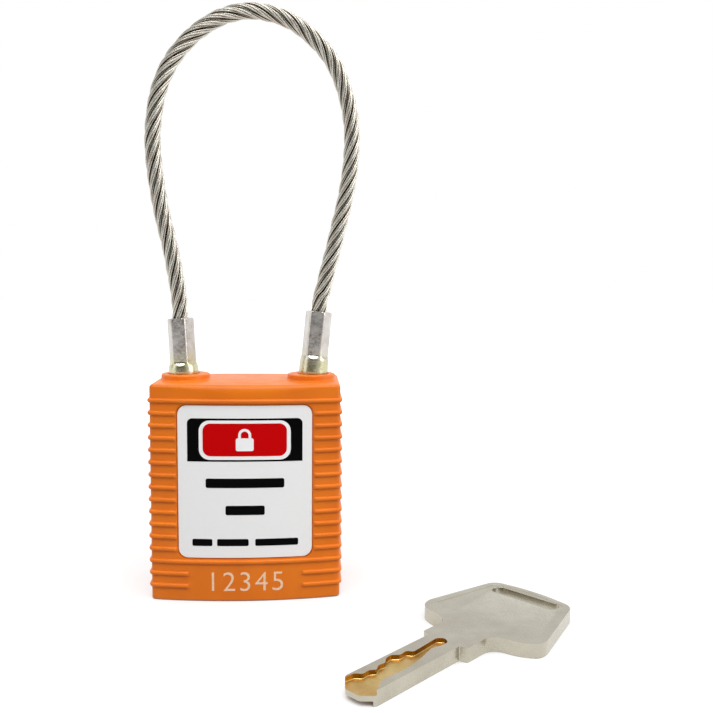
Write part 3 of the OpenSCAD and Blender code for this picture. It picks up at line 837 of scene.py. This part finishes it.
def make_number():
    """Laser-marked number low on the front; the digits are only counting digits."""
    curve = bpy.data.curves.new("number", "FONT")
    curve.body = "12345"
    curve.align_x = "CENTER"
    curve.size = 6.0
    curve.space_character = 1.14
    curve.offset = -0.05
    curve.extrude = INK_T
    holder = bpy.data.objects.new("number", curve)
    bpy.context.scene.collection.objects.link(holder)
    mesh = holder.evaluated_get(bpy.context.evaluated_depsgraph_get()).to_mesh()
    bm = bmesh.new()
    bm.from_mesh(mesh)
    bpy.data.objects.remove(holder)
    bmesh.ops.remove_doubles(bm, verts=bm.verts, dist=0.001)
    for vert in bm.verts:
        x, z, out = vert.co.x, NUMBER_Z + vert.co.y, vert.co.z
        vert.co = (x, -face_y(x, out), z)
    make_piece("laser_number", bm, [MARK], "body")


make_number()


# ---------------------------------------------------------------- shackle legs

def leg_profile(low_z, base, groove_z=None):
    """Half section of a leg as [radius, z], from its lower end to the rope's socket."""
    top = BEND_Z + base + CRIMP_LEN
    step_z = BEND_Z + base
    soft = 0.3 * PIN_END
    points = [(0, low_z), (PIN_R - PIN_END, low_z), (PIN_R - soft, low_z + soft),
              (PIN_R, low_z + PIN_END)]
    if groove_z is not None:
        low, high = groove_z - GROOVE_H / 2, groove_z + GROOVE_H / 2
        points += [(PIN_R, low), (GROOVE_R, low), (GROOVE_R, high), (PIN_R, high)]

    # rows for the bend, then the slight ridge that bending leaves
    points += [(PIN_R + ridge, BEND_Z + up) for ridge, up in (
        (0, -1.0), (0, -0.4), (0, 0.3), (0.07, 0.6), (0.04, 1.0))]

    # close rows down the shoulder and past it, where the flats run out
    shoulder_z, row_h, rows, rows_down = step_z - 0.8, 0.1, 20, 12
    points += [(NECK_R - (NECK_R - CRIMP_R) * smooth(i / rows_down), shoulder_z + row_h * i)
               for i in range(rows)]

    # the crimp up to its rounded top, and the socket in it
    crimp_z, crimp_rows = shoulder_z + row_h * rows, 8
    crimp_h = top - 0.4 - crimp_z
    points += [(CRIMP_R, crimp_z + crimp_h * i / crimp_rows) for i in range(crimp_rows + 1)]
    points += [(CRIMP_R - inset, top - down) for inset, down in (
        (0.06, 0.18), (0.2, 0.05), (0.37, 0.0))]
    points += [(SOCKET_R + SOCKET_EDGE, top), (SOCKET_R, top - SOCKET_EDGE),
               (SOCKET_R, top - SOCKET_DEEP), (0, top - SOCKET_DEEP)]
    return points


def press_flats(bm, step_z):
    """Presses six flats into the crimp; each runs out below in a scooped end."""
    scoop_z = step_z - SCOOP_LOW
    for vert in bm.verts:
        x, y, z = vert.co
        if z < scoop_z - 0.1 or math.hypot(x, y) < FLAT_MIN_R:
            continue
        t = min(max((z - scoop_z) / SCOOP_H, 0.0), 1.0)
        limit = HEX_IN_R + SCOOP_OUT * (1 - t) ** 2
        for k in range(6):
            a = math.radians(HEX_TURN + 30 + 60 * k)
            over = x * math.cos(a) + y * math.sin(a) - limit
            if over > 0:
                x -= over * math.cos(a)
                y -= over * math.sin(a)
        vert.co = (x, y, z)


def make_leg(name, node_name, body, x, low_z, base, lean, groove_z=None, notch=None):
    """A straight pin that turns into a leaning crimped ferrule at the bend."""
    bm = spun(leg_profile(low_z, base, groove_z), steps=120)
    press_flats(bm, BEND_Z + base)
    if notch is not None:
        bm = cut(bm, block(*notch))
    for vert in bm.verts:
        up = vert.co.z - BEND_Z
        turn = math.radians(lean) * smooth((up + BEND_H / 2) / BEND_H)
        vert.co.z = BEND_Z + up * math.cos(turn) - vert.co.x * math.sin(turn)
        vert.co.x = up * math.sin(turn) + vert.co.x * math.cos(turn)
    piece = make_piece(name, bm, [ZINC_PLATE], body, sharp=28.0,
                       place=Matrix.Translation((x, 0, 0)))
    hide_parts(node_name)


make_leg("heel_leg", "heel_terminal", "shackle", -PIN_X, HEEL_LOW_Z, HEEL_BASE, HEEL_LEAN,
         groove_z=GROOVE_Z)
make_leg("toe_leg", "toe_terminal", "toe", PIN_X, TOE_LOW_Z, TOE_BASE, TOE_LEAN,
         notch=((-PIN_R - PAST, -PIN_R - PAST, NOTCH_LOW_Z),
                (NOTCH_X, PIN_R + PAST, NOTCH_TOP_Z)))


# ---------------------------------------------------------------- key

# Outlines with the key's blade along X, each corner as (x, y, rounding). The half outline
# runs from the tip to the bow, and the ring slot is its middle's x and y, width and length.
KEY_HALF = [(-13.2, 1.6, 0.5), (-11.3, 3.5, 0.5), (10.8, 3.5, 0.15), (11.1, 5.1, 0.4),
            (18.6, 5.1, 2.4), (19.7, 11.4, 2.4), (22.3, 14.0, 2.2)]
BOW_BACK = [(41.2, -9.1, 1.9), (42.9, 0.6, 4.5), (41.7, 9.9, 1.9)]
KEY_TRACK = [
    (-14.2, -4.6, 0), (-11.2, -3.5, 0.6), (-8, -1.8, 0.8), (-2.2, -2.1, 1.2), (1.1, -1.8, 1.0),
    (4, -1.1, 0.6), (6.7, -0.4, 0.6), (8.6, -1, 0.6), (10.6, -1.1, 0.5), (11.6, 0.3, 0.6),
    (10.6, 1.5, 0.5), (5.5, 1.1, 0.6), (3.4, 1, 0.4), (2.7, 2.1, 0.3), (0.8, 1.9, 0.3),
    (-0.4, 3, 0.35), (-1.9, 2.8, 0.3), (-3.2, 1.8, 0.3), (-4.7, 2, 0.4), (-6.1, 1.2, 0.3),
    (-7.2, 2, 0.3), (-8.8, 1.8, 0.3), (-9.7, 3, 0.5), (-14.2, 3.4, 0)]
BOW_PANEL = [
    (17.4, -2.8, 1.0), (20.4, -7.4, 1.4), (23.2, -12.2, 1.6), (40.4, -8.2, 1.4), (42.0, 0.5, 2.5),
    (40.9, 9.0, 1.4), (23.2, 12.2, 1.6), (20.8, 8.1, 1.4), (18.7, 2.6, 1.5)]
RING_SLOT = (38.6, 0.3, 3.5, 15.3)


def make_key():
    """Flat key: rounded bow with a sunk panel and a ring slot, and a milled track in the blade."""
    half = [(x, -y, c) for x, y, c in KEY_HALF]
    bm = prism(outline(half + BOW_BACK + KEY_HALF[::-1]), 0.0, KEY_T)
    bevel_edges(bm, lambda p: p.z < HAIR or p.z > KEY_T - HAIR, KEY_EDGE_R, 4, 60.0)
    materials = (NICKEL, TRACK_FLOOR, SHADED_TRACK_BRASS)
    slot_x, slot_y, slot_w, slot_l = RING_SLOT
    slot = prism(outline([(sx * slot_w / 2 + slot_x, sy * slot_l / 2 + slot_y, slot_w / 2 - 0.05)
                          for sx, sy in ((-1, -1), (1, -1), (1, 1), (-1, 1))]),
                 -PAST, KEY_T + PAST)
    bm = cut(bm, slot, materials=materials)
    for way in (1, -1):
        panel = prism(outline([(x, way * y, c) for x, y, c in BOW_PANEL]),
                      -PANEL_DEPTH, PANEL_DEPTH)
        for vert in panel.verts:
            if vert.co.z < 0:
                vert.co.x = PANEL_MIDDLE_X + (vert.co.x - PANEL_MIDDLE_X) * PANEL_TAPER
                vert.co.y *= PANEL_TAPER
            vert.co.z = KEY_T / 2 + way * (KEY_T / 2 + vert.co.z)
        bm = cut(bm, panel, materials=materials)

    def slot_rim(p):
        near_face = p.z < PANEL_DEPTH + HAIR or p.z > KEY_T - PANEL_DEPTH - HAIR
        return (near_face and abs(p.x - slot_x) < slot_w / 2 + 0.1
                and abs(p.y - slot_y) < slot_l / 2 + 0.1)

    bevel_edges(bm, slot_rim, SLOT_EDGE_R, 4, 60.0)
    upper = prism(outline(KEY_TRACK), KEY_T - TRACK_DEPTH, KEY_T + PAST)
    lower = prism(outline([(x, -y, c) for x, y, c in KEY_TRACK]), -PAST, TRACK_DEPTH)
    for track, floor_z in ((upper, KEY_T - TRACK_DEPTH), (lower, TRACK_DEPTH)):
        bevel_edges(track, lambda p: abs(p.z - floor_z) < HAIR, TRACK_EDGE_R, 3, 60.0)
        for face in track.faces:
            face.normal_update()
            # the walls and the whole lower track take the darker brass, which is painted shade
            takes_painted_shade = abs(face.normal.z) < 0.3 or track is lower
            face.material_index = materials.index(SHADED_TRACK_BRASS if takes_painted_shade else TRACK_FLOOR)
        bm = cut(bm, track, materials=materials)
    place = Matrix.Translation((*KEY_PLACE, 0)) @ Matrix.Rotation(math.radians(KEY_TURN), 4, "Z")
    piece = make_piece("flat_key", bm, materials, "key", sharp=24.0, place=place)
    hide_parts("key")


make_key()


# ---------------------------------------------------------------- carried-over parts

NODE_MATERIALS = {
    "bottom_plate": NYLON, "core_housing": CAST_ZINC, "core_screw": BLACK_OXIDE,
    "bolt_cover": PLAIN_STEEL, "cover_screws": BLACK_OXIDE, "key_plug": BRASS,
    "slider_springs": SPRING_STEEL, "plug_clip": SPRING_STEEL, "cam": CAST_ZINC,
    "toe_bolt": PLAIN_STEEL, "bolt_spring": SPRING_STEEL, "heel_stop_ring": SPRING_STEEL,
    **{f"slider_{i}": BRASS for i in range(1, 7)}}
for node_name, material in NODE_MATERIALS.items():
    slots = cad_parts[node_name].data.materials
    slots.clear()
    slots.append(material)


# ---------------------------------------------------------------- studio

LIGHTS_AIM = Vector((0, 0, 0.05))


def make_floor():
    """Plain white floor that runs into the white background.

    It glows a little: less near the lock, so that the shadow shows, and not at all where
    something touches it. What metal mirrors of it is darker towards the front.
    """
    near_lock, near_glow = 0.12, 0.6
    far_out, far_glow = 0.3, 1.0
    front_y, back_y, back_glow = -0.4, -0.1, 0.68
    contact_reach = 0.003
    below_lock = 0.00005
    bm = bmesh.new()
    bmesh.ops.create_grid(bm, x_segments=1, y_segments=1, size=3.0)
    mesh = bpy.data.meshes.new("floor")
    bm.to_mesh(mesh)
    bm.free()
    floor = bpy.data.objects.new("floor", mesh)
    bpy.context.scene.collection.objects.link(floor)
    floor.location.z = -below_lock
    material, tree, shader, coords = start_material("white_floor", {
        "Base Color": (0.35, 0.35, 0.35, 1.0), "Roughness": 0.9, "Specular IOR Level": 0.0,
        "Emission Color": (1.0, 1.0, 1.0, 1.0)})
    ray = add(tree, "ShaderNodeLightPath", {}, {}).outputs
    away = add(tree, "ShaderNodeVectorMath", {"operation": "LENGTH"}, {0: coords})
    open_floor = add(tree, "ShaderNodeMapRange", {"interpolation_type": "SMOOTHSTEP"}, {
        "Value": away.outputs["Value"], "From Min": near_lock, "From Max": far_out,
        "To Min": near_glow, "To Max": far_glow})
    shut_in = add(tree, "ShaderNodeAmbientOcclusion", {"samples": 8}, {"Distance": contact_reach})
    contact = add(tree, "ShaderNodeMapRange", {}, {
        "Value": shut_in.outputs["AO"], "From Min": 0.1, "From Max": 0.55})
    lit = add(tree, "ShaderNodeMath", {"operation": "MULTIPLY"}, {
        0: open_floor.outputs["Result"], 1: contact.outputs["Result"]})
    seen = add(tree, "ShaderNodeMath", {"operation": "MULTIPLY"}, {
        0: ray["Is Camera Ray"], 1: lit.outputs["Value"]})
    behind = add(tree, "ShaderNodeSeparateXYZ", {}, {"Vector": coords}).outputs["Y"]
    mirrored = add(tree, "ShaderNodeMapRange", {}, {
        "Value": behind, "From Min": front_y, "From Max": back_y,
        "To Min": 0.0, "To Max": back_glow})
    glow = add(tree, "ShaderNodeMath", {"operation": "MULTIPLY_ADD"}, {
        0: ray["Is Glossy Ray"], 1: mirrored.outputs["Result"], 2: seen.outputs["Value"]})
    tree.links.new(glow.outputs["Value"], shader.inputs["Emission Strength"])
    mesh.materials.append(material)


def make_world():
    """White surroundings, darker towards the camera so that metal has something to mirror."""
    dark_front = 0.08
    world = bpy.data.worlds.new("studio")
    bpy.context.scene.world = world
    world.use_nodes = True
    tree = world.node_tree
    background = next(n for n in tree.nodes if n.type == "BACKGROUND")
    way = add(tree, "ShaderNodeTexCoord", {}, {}).outputs["Generated"]
    up = add(tree, "ShaderNodeSeparateXYZ", {}, {"Vector": way}).outputs["Z"]
    to_right_back = add(tree, "ShaderNodeVectorMath", {"operation": "DOT_PRODUCT"}, {
        0: way, 1: (0.45, 0.89, 0.0)})
    beside = add(tree, "ShaderNodeMapRange", {"interpolation_type": "SMOOTHSTEP"}, {
        "Value": to_right_back.outputs["Value"], "From Min": -0.95, "From Max": 0.15,
        "To Min": dark_front, "To Max": 1.15})
    above = add(tree, "ShaderNodeMapRange", {"interpolation_type": "SMOOTHSTEP"}, {
        "Value": up, "From Min": 0.4, "From Max": 0.95, "To Min": dark_front, "To Max": 1.2})
    dimmed = add(tree, "ShaderNodeMapRange", {"interpolation_type": "SMOOTHSTEP"}, {
        "Value": up, "From Min": 0.15, "From Max": 0.45, "To Min": 1.0, "To Max": 0.78})
    wall = add(tree, "ShaderNodeMath", {"operation": "MULTIPLY"}, {
        0: beside.outputs["Result"], 1: dimmed.outputs["Result"]})
    level = add(tree, "ShaderNodeMath", {"operation": "MAXIMUM"}, {
        0: wall.outputs["Value"], 1: above.outputs["Result"]})
    ray = add(tree, "ShaderNodeLightPath", {}, {}).outputs
    mixed = add(tree, "ShaderNodeMix", {"data_type": "FLOAT"}, {
        "Factor": ray["Is Camera Ray"], "A": level.outputs["Value"], "B": 1.0})
    tree.links.new(mixed.outputs["Result"], background.inputs["Strength"])
    background.inputs["Color"].default_value = (1.0, 1.0, 1.0, 1.0)


def softbox(name, place, size, power):
    """Rectangular light that faces the lock."""
    data = bpy.data.lights.new(name, "AREA")
    data.shape = "RECTANGLE"
    data.size, data.size_y = size
    data.energy = power
    light = bpy.data.objects.new(name, data)
    bpy.context.scene.collection.objects.link(light)
    aim = LIGHTS_AIM - Vector(place)
    turn = aim.to_track_quat("-Z", "Y").to_matrix().to_4x4()
    light.matrix_world = Matrix.Translation(place) @ turn


make_floor()
make_world()
softbox("top_softbox", (0.0, -0.55, 0.9), (1.0, 0.5), 7.0)
softbox("right_softbox", (0.95, -0.35, 0.4), (0.5, 0.8), 3.0)
softbox("left_softbox", (-0.95, -0.35, 0.4), (0.5, 0.8), 1.6)
bpy.context.scene.view_settings.view_transform = "Standard"
